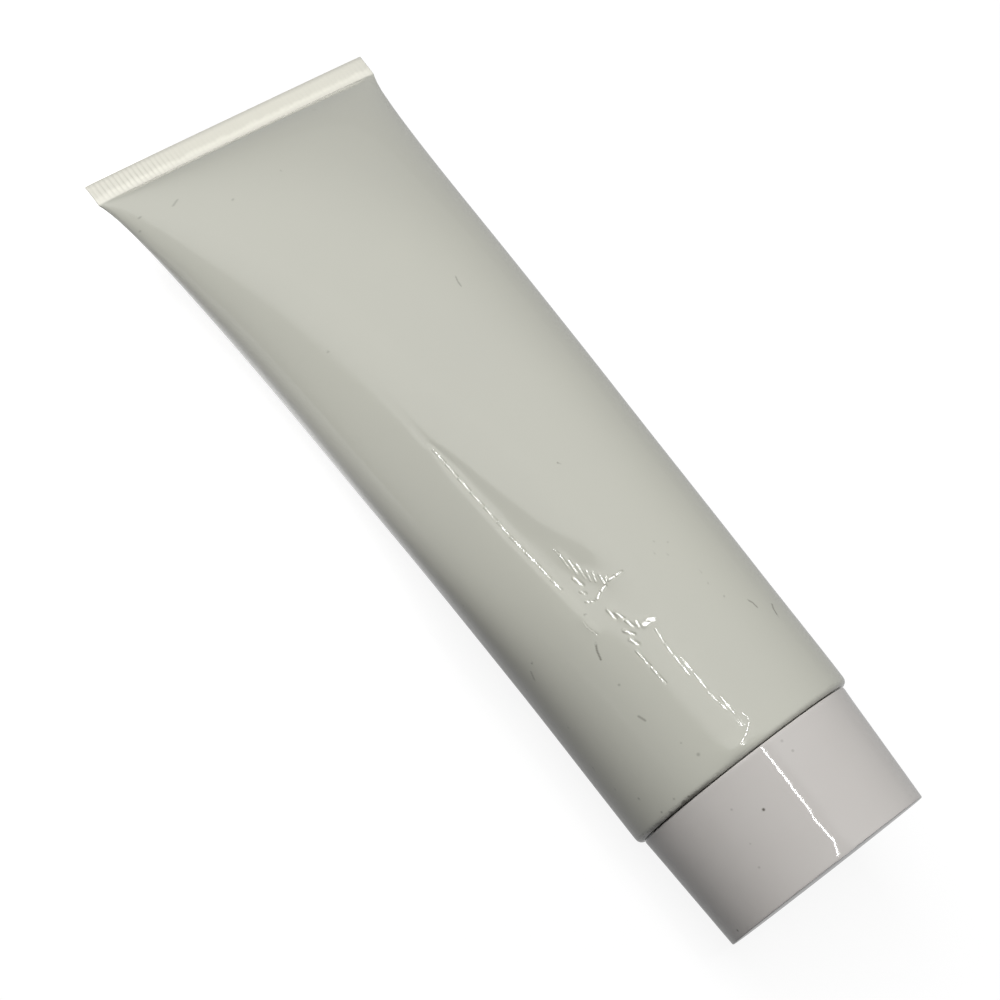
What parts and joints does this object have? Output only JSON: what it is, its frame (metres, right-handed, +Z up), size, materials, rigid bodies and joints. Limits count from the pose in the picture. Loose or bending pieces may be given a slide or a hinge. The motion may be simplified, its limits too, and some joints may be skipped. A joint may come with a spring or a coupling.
{
  "type": "squeeze tube",
  "caption": "Full plastic squeeze tube with a heat-crimped end, a shouldered neck and a smooth tapered screw cap, lying on its belly.",
  "frame": {"origin": "under the middle of the tube, on the surface that it lies on", "axes": "+X along the tube from the crimped end to the cap, +Z up, +Y across the tube"},
  "size_m": [0.1488, 0.063, 0.0404],
  "materials": {
    "sleeve_film": "off-white extruded polyethylene film, softly glossy, with light scuffs",
    "head_plastic": "natural white moulded polyethylene",
    "liner_foam": "white foamed sealing disc",
    "cap_plastic": "off-white moulded polypropylene, softly glossy"
  },
  "bodies": {
    "tube": {"tube_body": "sleeve_film", "head": "head_plastic"},
    "seal": {"cap_liner": "liner_foam"},
    "screw_cap": {"cap": "cap_plastic"}
  },
  "joints": [
    {"name": "cap_lift", "type": "slide", "parent": "tube", "child": "seal", "axis": [0.9995, 0, 0.0328], "range_m": [0, 0.01201]},
    {"name": "cap_turn", "type": "hinge", "parent": "seal", "child": "screw_cap", "pos_m": [0.05343, 0.0012, 0.02045], "axis": [0.9995, 0, 0.0328], "range_deg": [0, 1440]}
  ],
  "couplings": [
    {"joint": "cap_lift", "follows": "cap_turn", "m_per_rad": 0.00047746}
  ]
}
